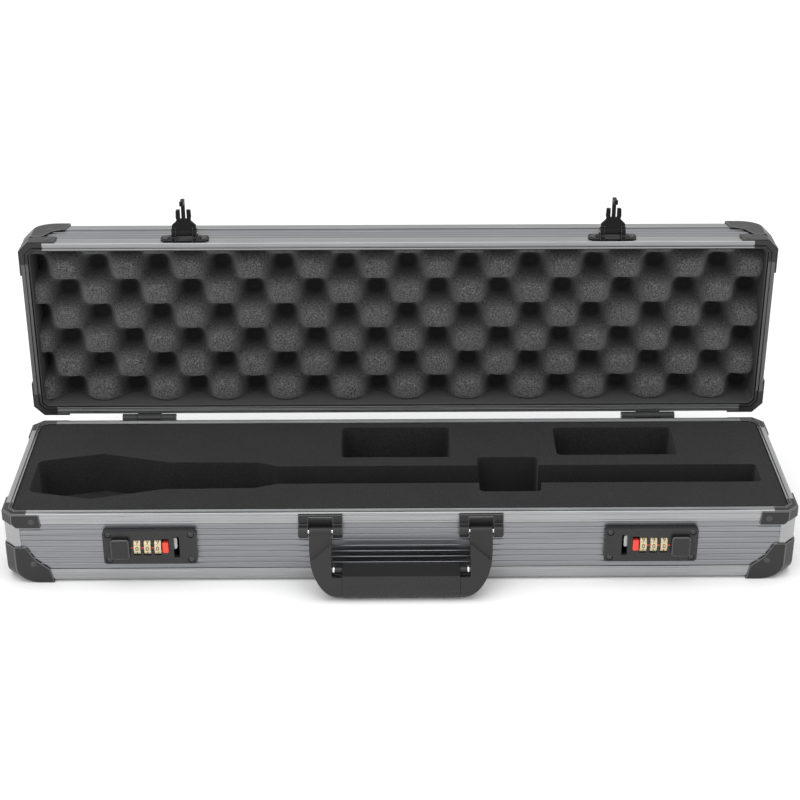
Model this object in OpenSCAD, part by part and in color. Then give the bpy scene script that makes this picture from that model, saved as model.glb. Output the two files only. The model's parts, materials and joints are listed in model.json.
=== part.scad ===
// Long hard carry case with an aluminium frame, a cut foam tray and an egg-crate lid.
// Origin: middle of the floor under the base. +X runs along the case, the locks face -Y, +Z is up.
// The lid is drawn shut and then swung back to its open stop, and the handle is drawn hanging
// straight down and then swung out until the grip rests on the floor.

/* [Case] */
// Length of the aluminium shell
body_w = 598; // [480:1:760]
// Depth of the aluminium shell, front to back
body_d = 151; // [124:1:200]
// Height of the base, floor to rim
base_h = 60; // [50:1:90]
// Height of the lid
lid_h = 40; // [32:1:60]
// Leg of the 45 degree flat at each upright corner
post_chamfer = 7.5; // [5:0.5:12]
// How far the lid is swung open
lid_open = 90; // [0:1:95]

/* [Shell] */
// Thickness of the ribbed wall panels
panel_t = 3; // [2:0.1:4]
// How far a panel's face sits behind the rails
panel_recess = 0.5; // [0.3:0.1:1]
// Height of one rib of the wall panels
rib_pitch = 4.94; // [3:0.01:8]
// Depth of the groove between two ribs
rib_groove = 0.6; // [0.3:0.1:1]
// Width of the rims where base and lid meet
rim_w = 6; // [4.5:0.1:9]
// Height of the base's rim rail
rim_h = 9; // [7:0.5:14]
// Height of the lid's rim rail
lid_rim_h = 10; // [7:0.5:14]
// Height of the rail along the base's lower edge
foot_rail_h = 10.3; // [8:0.1:14]
// Height of the rail along the lid's outer edge
edge_rail_h = 10; // [8:0.1:14]
// Thickness of the rails' walls and flanges
rail_t = 3.6; // [2.5:0.1:5]
// Reach of the flange that carries the floor or the lid's top
flange_w = 14; // [8:0.5:20]
// Thickness of the floor and of the lid's top
deck_t = 4; // [3:0.1:6]
// Width of the corner posts along each wall
post_w = 12.5; // [10:0.5:20]
// Radius that rounds the case's eight outer corners under their caps
round_r = 13; // [8:0.5:16]
// Gap between the rims when the lid is shut
lid_gap = 0.4; // [0.3:0.05:0.6]
// Height of the tongue on the base's rim
tongue_h = 1; // [0.6:0.1:1.5]
// Width of the tongue on the base's rim
tongue_w = 0.7; // [0.5:0.1:1]

/* [Corners] */
// Thickness of the plastic corners outside the shell
corner_t = 1.2; // [0.8:0.1:2]
// Length of a rim corner along each wall, on top
corner_run = 18; // [15:0.5:26]
// Length of a rim corner's riveted tab along each wall
tab_run = 27.5; // [24:0.5:40]
// Height of the riveted tab
tab_h = 11.8; // [10.5:0.1:14]
// Length of a corner cap along each wall
cap_run = 34; // [28:0.5:45]
// Height of the corner caps of the base
cap_h = 31.4; // [24:0.1:36]
// Height of the corner caps of the lid
lid_cap_h = 28; // [20:0.1:29]
// Radius of the rivets' heads
rivet_r = 2.4; // [1.5:0.1:3]

/* [Foam] */
// Thickness of the soft layer under the tray
pad_t = 8; // [4:1:12]
// How far the tray's face sits below the rim
tray_drop = 1; // [0.5:0.1:4]
// Width of the foam left behind the two back pockets
pocket_wall = 7.3; // [5:0.1:15]
// Width and depth of the first back pocket
pocket_a = [87.5, 50];
// Width and depth of the second back pocket
pocket_b = [96, 46];
// Middle of the first back pocket, along the case
pocket_a_x = -3; // [-20:1:20]
// Middle of the second back pocket, along the case
pocket_b_x = 173; // [150:1:185]
// How deep the back pockets are cut
pocket_depth = 30; // [15:1:36]
// Width and depth of the middle pocket that crosses the channel
mid_pocket = [48, 54];
// Middle of that pocket, along the case
mid_pocket_x = 85; // [60:1:100]
// How deep the middle pocket is cut
mid_pocket_depth = 38; // [15:1:40]
// How deep the long recess is cut
recess_depth = 34; // [15:1:38]
// Length of the lens recess from its end to its widest place
recess_front_len = 49; // [30:1:80]
// Length over which the recess narrows from there
recess_taper_len = 54; // [30:1:80]
// Length of the barrel part of the recess
recess_barrel_len = 70; // [40:1:100]
// Length of the step down to the probe channel
recess_step_len = 16; // [8:1:30]
// Widest half width of the recess
recess_wide = 35.5; // [25:0.5:40]
// Half width at the recess's closed end
recess_end = 24; // [15:0.5:35]
// Half width of the barrel part
recess_barrel = 20; // [14:0.5:30]
// Half width of the probe channel
channel_half = 13.7; // [8:0.1:20]
// Thickness of the lining on the lid's walls
lining_t = 1.2; // [0.8:0.1:2]
// How far the peaks of the lid's foam stay behind its rim
foam_drop = 8; // [4:0.5:14]

/* [Hinges] */
// Middle of each hinge, from the middle of the case
hinge_x = 205.6; // [150:0.1:215]
// Width of a hinge
hinge_w = 44; // [30:1:60]
// Distance of the hinge pin behind the shell
hinge_out = 3.5; // [3.4:0.1:5]
// Radius of the hinge's knuckles
knuckle_r = 3.2; // [2.5:0.1:3.2]
// Radius of the hinge pins
hinge_pin_r = 1.25; // [1:0.05:1.5]
// Thickness of the hinge leaves
leaf_t = 1.5; // [1:0.1:1.8]
// Height of the hinge leaves
leaf_h = 11; // [8:0.5:16]

/* [Handle] */
// Middle of each bracket, from the middle of the case
bracket_x = 60.4; // [50:0.1:90]
// Width of a bracket
bracket_w = 33.4; // [30:0.1:45]
// Height of a bracket
bracket_h = 20.3; // [18:0.1:26]
// Thickness of a bracket's plate
bracket_t = 2.5; // [2:0.1:3]
// Width of the notch that the arm turns in
notch_w = 18.7; // [17.4:0.1:22]
// Distance of the handle's pins in front of the shell
handle_out = 5.5; // [5:0.1:8]
// Distance of the handle's pins below the rim
handle_drop = 13; // [12:0.1:16]
// Radius of the handle's pins
handle_pin_r = 1.6; // [1.2:0.1:2]
// Reach of the handle, pin to outer edge of the grip
handle_reach = 50; // [44:0.5:60]
// Width of a handle arm
arm_w = 16.8; // [14:0.1:17]
// Thickness of a handle arm
arm_t = 6; // [5:0.1:7]
// Half length of the grip
grip_half = 44.3; // [40:0.1:50]
// Height of the grip's section, along the handle
grip_h = 26; // [20:0.5:28]
// Thickness of the grip's section
grip_t = 16; // [12:0.5:17]
// Radius of the steel rod inside the grip
rod_r = 3; // [2:0.1:4]

/* [Locks] */
// Middle of each lock, from the middle of the case
lock_x = 189; // [150:0.1:195]
// Distance of the lock's middle below the rim
lock_drop = 27.3; // [26:0.1:30]
// Length of the lock's face plate
plate_w = 70.5; // [66:0.1:80]
// Height of the lock's face plate
plate_h = 28.8; // [28.8:0.1:34]
// Thickness of the lock's face plate
plate_t = 4; // [3:0.1:5]
// Radius of the number wheels
wheel_r = 8; // [7:0.1:8]
// Width of a number wheel
wheel_w = 5; // [4:0.1:5.4]
// Distance between number wheels
wheel_pitch = 7.8; // [7:0.1:8]
// How far the number wheels stand proud of the plate
wheel_proud = 1.8; // [1:0.1:2.5]
// Travel of the push button
button_travel = 2.5; // [2.2:0.1:3]
// Travel of the red code slider
slider_travel = 2.5; // [1.5:0.1:3]
// Width of the slot that takes the hasp's hook
slot_w = 4.3; // [4.1:0.1:4.8]
// Depth of the lock's housing behind the face plate
housing_d = 13.5; // [12:0.1:16]

/* [Hasps] */
// Distance of the hasp's pin above the lid's rim
hasp_rise = 6.6; // [6:0.1:8]
// Distance of the hasp's pin in front of the shell
hasp_out = 6; // [5.8:0.1:7]
// Length of the hasp's arm from its pin to its shoulders
hasp_len = 19.5; // [16:0.1:19.8]
// Width of the hook
hook_w = 3; // [2.4:0.1:3.2]
// Radius of the hasp's pin
hasp_pin_r = 1; // [0.8:0.1:1.2]

/* [Hidden] */
$fn = 48;

run_clear = 0.05;       // radial play of a shaft in its hole
move_clear = 0.3;       // gap beside a piece that moves
foam_clear = 0.2;       // gap around the foam
floor_clear = 0.1;      // lift of the resting grip
cup_t = 0.8;            // skin behind the arm in a handle bracket
proud_rivet = 0.9;      // height of a rivet's head
step_bevel = 1.2;       // bevel along the outer edges of the rails
bead = 0.3;             // depth of the lines drawn along the rails
cap_lip = 12;           // height at which a cap's outline turns outwards

half_w = body_w / 2;
half_d = body_d / 2;
foot = corner_t;
rim_bottom = base_h - rim_h;
foot_rail_top = foot + foot_rail_h;
rail_end = post_chamfer + (round_r - corner_t) * sqrt(2) + 0.3;
lid_z = base_h + lid_gap;
lid_rim_top = lid_z + lid_rim_h;
lid_top_z = lid_z + lid_h;
edge_rail_bottom = lid_top_z - edge_rail_h;
deck_inset = rail_t + foam_clear;
floor_top = foot + step_bevel + deck_t;
lid_inner_z = lid_top_z - step_bevel - deck_t;
foam_inset = rim_w + foam_clear;
tray_top = base_h - tray_drop;
hinge_y = half_d + hinge_out;
hinge_z = base_h + lid_gap / 2;

tongue_at = 4;          // middle of the tongue, in from the outer face
groove_w = tongue_w + 2 * (move_clear + 0.05);
groove_h = tongue_h + 2 * move_clear;

foam_half_w = half_w - foam_inset;
foam_half_d = half_d - foam_inset;
recess_y = -(foam_half_d - 18) + recess_wide;
recess_left = -foam_half_w + 8;
channel_right = foam_half_w - 13;

handle_y = -half_d - handle_out;
handle_z = base_h - handle_drop;
grip_top = handle_reach - grip_h;
rod_down = grip_top + 5.5;
handle_tilt = rest_tilt(16, 80, 24);

plate_back = -half_d;
plate_front = plate_back - plate_t;
lock_z = base_h - lock_drop;
wheel_y = max(plate_front - wheel_proud + wheel_r, plate_back + 1.5 + 0.65);
plate_skin = 1.5;       // plate left in front of the wheels
wheels_u = -1.8;        // middle wheel, from the lock's middle
window_h = 2 * sqrt(pow(wheel_r, 2) - pow(wheel_r - wheel_proud - plate_skin, 2)) + 2 * move_clear;
button_u = -22.25;      // push button, from the lock's middle
button_size = [14.3, 17];
button_stem = [6, 9];
button_lift = 0.6;      // gap between the button's cap and the plate
button_proud = 3.6;
slider_u = 11.7;        // code slider, from the lock's middle
slider_size = [4.6, 9];
slot_u = 20.1;          // hook slot, from the lock's middle
slot_low = -8.7;        // slot's ends, from the lock's middle
slot_high = 8.9;
housing_half = [33, 13.2];
housing_t = 1.2;
housing_back = plate_back + housing_d;
screw_at = [31, 10.9];
bar_t = 1.2;
bar_back = housing_back - housing_t - 0.3;
bar_front = bar_back - bar_t;

hasp_x = lock_x - slot_u;
hasp_y = -half_d - hasp_out;
hasp_z = lid_z + hasp_rise;
hasp_t = 2.4;
hook_top = lock_z + slot_high - 0.8;
hook_h = 2;
barb_h = 1.6;
barb_t = 1.2;
barb_y = plate_back + 4.5;

// ---------- outlines ----------

// Octagon of the shell's plan, moved out by a distance
function plan(out) =
    let (w = half_w + out, d = half_d + out, c = max(0.5, post_chamfer + out * (2 - sqrt(2))))
    [[w - c, -d], [w, c - d], [w, d - c], [w - c, d],
     [c - w, d], [-w, d - c], [-w, c - d], [c - w, -d]];

function unit(v) = v / norm(v);

// Arc that rounds corner b of the path a-b-c
function corner_arc(a, b, c, r, steps) =
    let (u = unit(a - b), v = unit(c - b), half = acos(u * v) / 2,
         mid = b + unit(u + v) * r / sin(half),
         p = b + u * r / tan(half) - mid, turn = u[0] * v[1] - u[1] * v[0],
         sweep = sign(-turn) * (180 - 2 * half))
    [for (i = [0:steps]) let (g = sweep * i / steps)
        mid + [p[0] * cos(g) - p[1] * sin(g), p[0] * sin(g) + p[1] * cos(g)]];

// Polygon with every corner rounded to the radius given for it
function rounded(points, radii, steps = 6) =
    let (n = len(points))
    [for (i = [0:n - 1])
        let (r = is_list(radii) ? radii[i] : radii)
        each (r == 0 ? [points[i]]
            : corner_arc(points[(i + n - 1) % n], points[i], points[(i + 1) % n], r, steps))];

function box_points(w, h) = [[-w, -h] / 2, [w, -h] / 2, [w, h] / 2, [-w, h] / 2];

// Section of the grip: distance behind the handle's plane, and height above its lower edge
function grip_points() =
    let (h = grip_t / 2)
    rounded([[-h, 6], [-h + 2.2, 2.2], [-3, 0], [3, 0], [h - 1.5, 1.8], [h, 6],
             [h, grip_h - 8], [h - 2, grip_h - 3], [3, grip_h], [-3, grip_h],
             [-h + 2.6, grip_h - 2.8], [-h, grip_h - 9]],
            [1, 1.5, 2, 2, 2, 2, 3, 2, 2, 1.5, 1.5, 1], 4);

// Lowest point of the grip when the handle is swung out by t degrees
function grip_low(t) =
    handle_z + min([for (p = grip_points()) (p[1] - handle_reach) * cos(t) - p[0] * sin(t)]);

// Swing at which the grip just clears the floor, no less than it needs to clear the wall
function rest_tilt(low, high, steps) =
    let (mid = (low + high) / 2)
    steps == 0 ? high : grip_low(low) >= floor_clear ? low
        : grip_low(mid) < floor_clear ? rest_tilt(mid, high, steps - 1)
        : rest_tilt(low, mid, steps - 1);

// ---------- placing ----------

module both_sides() {
    children();
    mirror([1, 0, 0]) children();
}

module front_and_back() {
    children();
    mirror([0, 1, 0]) children();
}

module four_corners() {
    both_sides() front_and_back() children();
}

// Swing pieces that are drawn with the lid shut to its open stop
module open_lid() {
    translate([0, hinge_y, hinge_z]) rotate([-lid_open, 0, 0])
        translate([0, -hinge_y, -hinge_z]) children();
}

// Turn a shape that stands on the floor upside down, onto the lid's top
module on_lid_top() {
    translate([0, 0, lid_top_z + foot]) mirror([0, 0, 1]) children();
}

// Profile in depth and height, run along X or along Y
module along_x(length) {
    rotate([90, 0, 90]) linear_extrude(length, center = true) children();
}

module along_y(length) {
    rotate([90, 0, 0]) linear_extrude(length, center = true) children();
}

// Outline in X and Z, standing on a plane of constant Y and thick towards -Y
module wall_plate(y, thick) {
    translate([0, y, 0]) rotate([90, 0, 0]) linear_extrude(thick) children();
}

module dome(r, h) {
    ball = (r * r + h * h) / (2 * h);
    intersection() {
        translate([0, 0, h - ball]) sphere(ball);
        cylinder(r = r, h = h);
    }
}

// Domed head on the front wall, with its axis towards -Y
module front_dome(x, y, z, r, h) {
    translate([x, y, z]) rotate([90, 0, 0]) dome(r, h);
}

// Domed head on an end wall, with its axis towards +X
module end_dome(x, y, z, r, h) {
    translate([x, y, z]) rotate([0, 90, 0]) dome(r, h);
}

// ---------- shell pieces shared by base and lid ----------

// Everything inside the rounded corners of the floor, moved out by a distance
module corner_rounding(out) {
    s = (half_w + half_d - post_chamfer) / sqrt(2) + out;
    low = foot - out;
    r = round_r - corner_t + out;
    intersection_for (a = [-45, 45]) rotate([0, 0, a]) rotate([90, 0, 0])
        linear_extrude(4 * body_w, center = true)
            polygon(rounded([[-s, low], [s, low], [s, body_w], [-s, body_w]], [r, r, 0, 0], 8));
}

// Part of the shell's plan ring that lies within a run of the front right corner
module corner_ring(outer, inner, run) {
    intersection() {
        difference() {
            polygon(plan(outer));
            polygon(plan(-inner));
        }
        translate([half_w - run, -half_d - 10]) square([run + 10, run + 10]);
    }
}

// Ribbed wall profile: outer face at -at, ribs between two heights
module ribbed_wall(at, z0, z1) {
    face = -at + panel_recess;
    ribs = max(1, round((z1 - z0) / rib_pitch));
    pitch = (z1 - z0) / ribs;
    edge = rib_groove * 0.8;
    polygon(concat(
        [for (i = [0:ribs - 1]) each [
            [face + rib_groove, z0 + i * pitch],
            [face, z0 + i * pitch + edge],
            [face, z0 + (i + 1) * pitch - edge]]],
        [[face + rib_groove, z1], [face + panel_t, z1], [face + panel_t, z0]]
    ));
}

// Line drawn into a rail's outer face at a height, listed from below upwards
function line(at, z) = [[-at, z - bead], [-at + bead, z], [-at, z + bead]];

// The same line, listed from above downwards
function line_down(at, z) = [[-at, z + bead], [-at + bead, z], [-at, z - bead]];

// Rim profile of the base, with its tongue
module rim_profile(at) {
    polygon(concat(
        [[-at, rim_bottom]], line(at, rim_bottom + 1.6), line(at, base_h - 2.6),
        [[-at, base_h - step_bevel / 2], [-at + step_bevel / 2, base_h],
         [-at + tongue_at - tongue_w / 2, base_h],
         [-at + tongue_at - tongue_w / 2, base_h + tongue_h],
         [-at + tongue_at + tongue_w / 2, base_h + tongue_h],
         [-at + tongue_at + tongue_w / 2, base_h],
         [-at + rim_w, base_h], [-at + rim_w, rim_bottom]]
    ));
}

// Rim profile of the lid, with the groove for the tongue
module lid_rim_profile(at) {
    polygon(concat(
        [[-at, lid_rim_top]], line_down(at, lid_rim_top - 1.6), line_down(at, lid_z + 2.6),
        [[-at, lid_z + step_bevel / 2], [-at + step_bevel / 2, lid_z],
         [-at + tongue_at - groove_w / 2, lid_z],
         [-at + tongue_at - groove_w / 2, lid_z + groove_h],
         [-at + tongue_at + groove_w / 2, lid_z + groove_h],
         [-at + tongue_at + groove_w / 2, lid_z],
         [-at + rim_w, lid_z], [-at + rim_w, lid_rim_top]]
    ));
}

// Rail round the outer edge: a wall and a flange under the deck
module edge_profile(at, height) {
    turn = 2.4;
    polygon(concat(
        [for (g = [0:15:90]) [-at + turn - turn * sin(g), foot + turn - turn * cos(g)]],
        line(at, foot + height - 1.6),
        [[-at, foot + height], [-at + rail_t, foot + height],
         [-at + rail_t, foot + step_bevel], [-at + flange_w, foot + step_bevel],
         [-at + flange_w, foot]]
    ));
}

module edge_rails(height) {
    front_and_back() along_x(2 * (half_w - rail_end)) edge_profile(half_d, height);
    both_sides() along_y(2 * (half_d - rail_end)) edge_profile(half_w, height);
}

// Upright post of a corner, from the end of the rounding up to a height
module post(z1) {
    z0 = foot + round_r - corner_t + 0.3;
    translate([0, 0, z0]) linear_extrude(z1 - z0) corner_ring(0, rail_t - 0.1, post_w);
}

// Tab outline of a rim corner on a wall: x runs from the tab's end to the corner
module tab_outline(from, to) {
    polygon(rounded(
        [[from, base_h - step_bevel / 2], [from - 1.2, base_h - tab_h],
         [to - 1.5, base_h - tab_h], [to, rim_bottom + 1], [to, base_h - step_bevel / 2]],
        [0, 0.8, 4, 0, 0]));
}

// Plastic corner of the base's rim, for the front right corner
module rim_corner() {
    skin_top = base_h - step_bevel / 2;
    turn_w = half_w - post_chamfer;
    turn_d = half_d - post_chamfer;
    translate([0, 0, rim_bottom]) linear_extrude(rim_h) corner_ring(0, rim_w, corner_run);
    translate([0, 0, rim_bottom])
        linear_extrude(skin_top - rim_bottom) corner_ring(corner_t, 0, corner_run);
    wall_plate(-half_d, corner_t) tab_outline(half_w - tab_run, turn_w);
    translate([half_w, 0, 0]) rotate([0, 0, 90])
        wall_plate(0, corner_t) mirror([1, 0]) tab_outline(half_d - tab_run, turn_d);
    translate([0, 0, base_h]) linear_extrude(tongue_h)
        corner_ring(-tongue_at + tongue_w / 2, tongue_at + tongue_w / 2, corner_run);
}

// Cap outline on a wall: x runs from the cap's end to past the corner
module cap_outline(from, to, height) {
    polygon(rounded(
        [[from - 1.5, -1], [from + 1.5, cap_lip], [from + 11.5, height - 11.5],
         [from + 18, height], [to, height], [to, -1]],
        [0, 2, 7, 3, 0, 0]));
}

// Plastic cap for the front right corner of the floor, with its rounded outer corner
module corner_cap(height) {
    difference() {
        intersection() {
            linear_extrude(height) polygon(plan(corner_t));
            corner_rounding(corner_t);
            union() {
                translate([0, flange_w - half_d, 0]) wall_plate(0, flange_w + 5)
                    cap_outline(half_w - cap_run, half_w + 5, height);
                translate([half_w - flange_w, 0, 0]) rotate([0, 0, 90]) mirror([1, 0, 0])
                    wall_plate(0, flange_w + 5)
                        cap_outline(half_d - cap_run, half_d + 5, height);
            }
        }
        intersection() {
            translate([0, 0, foot]) linear_extrude(height) polygon(plan(0));
            corner_rounding(0.01);
        }
    }
}

// The two rivets of a cap, at one height
module cap_rivets(height) {
    z = height * 0.53;
    front_dome(half_w - 20.5, -half_d - corner_t, z, rivet_r, proud_rivet);
    end_dome(half_w + corner_t, -half_d + 20.5, z, rivet_r, proud_rivet);
}

module rim_rivets() {
    z = base_h - tab_h / 2 - 0.4;
    front_dome(half_w - 22, -half_d - corner_t, z, rivet_r, proud_rivet);
    end_dome(half_w + corner_t, -half_d + 22, z, rivet_r, proud_rivet);
}

// Space that the locks' housings take up in the front wall
module lock_space() {
    both_sides() translate([-lock_x, 0, lock_z]) translate([0, housing_back / 2 - half_d / 2, 0])
        cube([2 * housing_half[0] + 0.4, housing_d + 0.4, 2 * housing_half[1] + 0.4], center = true);
}

// ---------- base ----------

// Board that lies on the flanges of the edge rails
module deck() {
    intersection() {
        translate([0, 0, foot + step_bevel]) linear_extrude(deck_t) polygon(plan(-deck_inset));
        corner_rounding(-foam_clear);
    }
}

module base_floor() {
    color("#3c3c3e") deck();
}

module base_panel_front() {
    color("#8f9297") difference() {
        along_x(2 * (half_w - post_w)) ribbed_wall(half_d, foot_rail_top, rim_bottom);
        lock_space();
    }
}

module base_panel_back() {
    color("#8f9297") mirror([0, 1, 0])
        along_x(2 * (half_w - post_w)) ribbed_wall(half_d, foot_rail_top, rim_bottom);
}

module base_panel_ends() {
    color("#8f9297") both_sides()
        along_y(2 * (half_d - post_w)) ribbed_wall(half_w, foot_rail_top, rim_bottom);
}

module base_rim_long() {
    color("#c4c6c8") difference() {
        front_and_back() along_x(2 * (half_w - corner_run)) rim_profile(half_d);
        lock_space();
    }
}

module base_rim_ends() {
    color("#c4c6c8") both_sides()
        along_y(2 * (half_d - corner_run)) rim_profile(half_w);
}

module base_foot_rails() {
    color("#b4b6b8") difference() {
        edge_rails(foot_rail_h);
        lock_space();
    }
}

module base_posts() {
    color("#a9abac") four_corners() post(rim_bottom);
}

module base_rim_corners() {
    color("#3f4041") four_corners() rim_corner();
}

module base_corner_caps() {
    color("#3f4041") four_corners() corner_cap(cap_h);
}

module base_rivets() {
    color("#55565a") {
        four_corners() {
            rim_rivets();
            cap_rivets(cap_h);
        }
        both_sides() leaf_rivets();
    }
}

module tray_pad() {
    color("#303133") translate([0, 0, floor_top]) linear_extrude(pad_t) polygon(plan(-foam_inset));
}

// Plan of the long recess: lens end at the left, barrel, then the probe channel
module recess_outline() {
    x1 = recess_left + recess_front_len;
    x2 = x1 + recess_taper_len;
    x3 = x2 + recess_barrel_len;
    x4 = x3 + recess_step_len;
    upper = [[recess_left, recess_end], [x1, recess_wide], [x2, recess_barrel + 1],
             [x3, recess_barrel], [x4, channel_half], [channel_right, channel_half]];
    lower = [for (i = [len(upper) - 1:-1:0]) [upper[i][0], -upper[i][1]]];
    radii = [6, 10, 8, 6, 6, 3];
    translate([0, recess_y]) polygon(rounded(concat(upper, lower),
        concat(radii, [for (i = [len(radii) - 1:-1:0]) radii[i]])));
}

module pocket(x, y, size, depth) {
    translate([x, y, tray_top - depth]) linear_extrude(depth + 1)
        polygon(rounded(box_points(size[0], size[1]), 4));
}

module tray_foam() {
    color("#2b2c2e") difference() {
        translate([0, 0, floor_top + pad_t]) linear_extrude(tray_top - floor_top - pad_t)
            polygon(plan(-foam_inset));
        translate([0, 0, tray_top - recess_depth]) linear_extrude(recess_depth + 1) recess_outline();
        pocket(mid_pocket_x, recess_y, mid_pocket, mid_pocket_depth);
        pocket(pocket_a_x, foam_half_d - pocket_wall - pocket_a[1] / 2, pocket_a, pocket_depth);
        pocket(pocket_b_x, foam_half_d - pocket_wall - 1.5 - pocket_b[1] / 2, pocket_b, pocket_depth);
        lock_space();
    }
}

// ---------- lid, drawn shut ----------

module lid_top() {
    color("#8b8e92") open_lid() on_lid_top() deck();
}

module lid_panel_front() {
    color("#8f9297") open_lid()
        along_x(2 * (half_w - post_w)) ribbed_wall(half_d, lid_rim_top, edge_rail_bottom);
}

module lid_panel_back() {
    color("#8f9297") open_lid() mirror([0, 1, 0])
        along_x(2 * (half_w - post_w)) ribbed_wall(half_d, lid_rim_top, edge_rail_bottom);
}

module lid_panel_ends() {
    color("#8f9297") open_lid() both_sides()
        along_y(2 * (half_d - post_w)) ribbed_wall(half_w, lid_rim_top, edge_rail_bottom);
}

module lid_rim_long() {
    color("#c4c6c8") open_lid() front_and_back()
        along_x(2 * (half_w - corner_run)) lid_rim_profile(half_d);
}

module lid_rim_ends() {
    color("#c4c6c8") open_lid() both_sides()
        along_y(2 * (half_d - corner_run)) lid_rim_profile(half_w);
}

module lid_edge_rails() {
    color("#b4b6b8") open_lid() on_lid_top() edge_rails(edge_rail_h);
}

module lid_posts() {
    color("#a9abac") open_lid() on_lid_top() four_corners() post(lid_top_z + foot - lid_rim_top);
}

// Plastic corner of the lid's rim: a mirrored base corner with a groove
module lid_rim_corner() {
    lift = lid_rim_h - rim_h;
    difference() {
        union() {
            translate([0, 0, base_h + lid_z]) mirror([0, 0, 1]) intersection() {
                rim_corner();
                translate([half_w - 50, -half_d - 20, 0]) cube([100, 100, base_h]);
            }
            translate([0, 0, lid_z + rim_h]) linear_extrude(lift)
                corner_ring(0, rim_w, corner_run);
        }
        translate([0, 0, lid_z - 1]) linear_extrude(groove_h + 1)
            corner_ring(-tongue_at + groove_w / 2, tongue_at + groove_w / 2, corner_run + 1);
    }
}

module lid_rim_corners() {
    color("#3f4041") open_lid() four_corners() lid_rim_corner();
}

module lid_corner_caps() {
    color("#3f4041") open_lid() on_lid_top() four_corners() corner_cap(lid_cap_h);
}

module lid_rivets() {
    color("#55565a") open_lid() {
        on_lid_top() four_corners() cap_rivets(lid_cap_h);
        translate([0, 0, base_h + lid_z]) mirror([0, 0, 1]) {
            four_corners() rim_rivets();
            both_sides() leaf_rivets();
        }
    }
}

module lid_lining() {
    color("#6f7072") open_lid()
        translate([0, 0, lid_z + 2]) linear_extrude(lid_inner_z - lid_z - 2) difference() {
            polygon(plan(-foam_inset));
            polygon(plan(-foam_inset - lining_t));
        }
}

module lid_egg_foam() {
    color("#3a3b3d") open_lid()
        translate([0, 0, lid_z + foam_drop]) linear_extrude(lid_inner_z - lid_z - foam_drop)
            polygon(plan(-foam_inset - lining_t - foam_clear));
}

// ---------- hinges ----------

hinge_part = hinge_w * 0.27;                       // width of an outer knuckle
hinge_mid = hinge_w - 2 * hinge_part;              // space between them
leaf_cut = knuckle_r + 0.4;                        // clearance round a turning knuckle

module knuckle(x, w) {
    translate([x, hinge_y, hinge_z]) rotate([0, 90, 0]) cylinder(r = knuckle_r, h = w, center = true);
}

module hinge_bore(clearance) {
    translate([0, hinge_y, hinge_z]) rotate([0, 90, 0])
        cylinder(r = hinge_pin_r + clearance, h = hinge_w + 2, center = true);
}

// Plate on the back wall between two heights
module leaf(x, w, z0, z1) {
    translate([x - w / 2, half_d, z0]) cube([w, leaf_t, z1 - z0]);
}

module leaf_rivets() {
    for (s = [-1, 1])
        translate([hinge_x + s * hinge_w * 0.3, half_d + leaf_t, base_h - leaf_h * 0.6])
            rotate([-90, 0, 0]) dome(1.8, 0.7);
}

module hinge_base_leaves() {
    color("#2c2d2f") both_sides() translate([hinge_x, 0, 0]) difference() {
        union() {
            leaf(0, hinge_w, base_h - leaf_h, hinge_z - leaf_cut);
            for (s = [-1, 1]) {
                leaf(s * (hinge_w - hinge_part) / 2, hinge_part, base_h - leaf_h, hinge_z);
                knuckle(s * (hinge_w - hinge_part) / 2, hinge_part);
            }
        }
        hinge_bore(0);
    }
}

module hinge_lid_leaves() {
    color("#2c2d2f") open_lid() both_sides() translate([hinge_x, 0, 0]) difference() {
        union() {
            leaf(0, hinge_w, hinge_z + leaf_cut, lid_z + leaf_h);
            leaf(0, hinge_mid - 2 * move_clear, hinge_z, lid_z + leaf_h);
            knuckle(0, hinge_mid - 2 * move_clear);
        }
        hinge_bore(run_clear);
    }
}

module hinge_pins() {
    color("#b9babb") both_sides() translate([hinge_x, hinge_y, hinge_z]) rotate([0, 90, 0])
        cylinder(r = hinge_pin_r, h = hinge_w, center = true);
}

// ---------- handle ----------

module handle_brackets() {
    leg = (bracket_w - notch_w) / 2;
    top = base_h - 0.7;
    color("#3a3b3c") both_sides() translate([-bracket_x, 0, 0]) difference() {
        union() {
            difference() {
                wall_plate(-half_d, bracket_t) translate([0, top - bracket_h / 2])
                    polygon(rounded(box_points(bracket_w, bracket_h), 1.2));
                translate([-notch_w / 2, -half_d - 10, top - bracket_h - 1])
                    cube([notch_w, 20, bracket_h - 1]);
            }
            translate([-bracket_w / 2, -half_d - cup_t, handle_z - 4])
                cube([bracket_w, cup_t, top - handle_z]);
            for (s = [-1, 1]) translate([s * (bracket_w - leg) / 2, 0, 0]) {
                translate([0, handle_y, handle_z]) rotate([0, 90, 0])
                    cylinder(r = 4, h = leg, center = true);
                translate([-leg / 2, handle_y, handle_z - 4]) cube([leg, handle_out, 8]);
            }
        }
        translate([0, handle_y, handle_z]) rotate([0, 90, 0])
            cylinder(r = handle_pin_r, h = bracket_w - 2, center = true);
    }
}

module handle_pins() {
    color("#d8d9da") both_sides() translate([-bracket_x, handle_y, handle_z]) rotate([0, 90, 0])
        cylinder(r = handle_pin_r, h = bracket_w - 2, center = true);
}

// Swing pieces that are drawn hanging straight down out to their rest
module swing_handle() {
    translate([0, handle_y, handle_z]) rotate([-handle_tilt, 0, 0])
        translate([0, -handle_y, -handle_z]) children();
}

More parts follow.
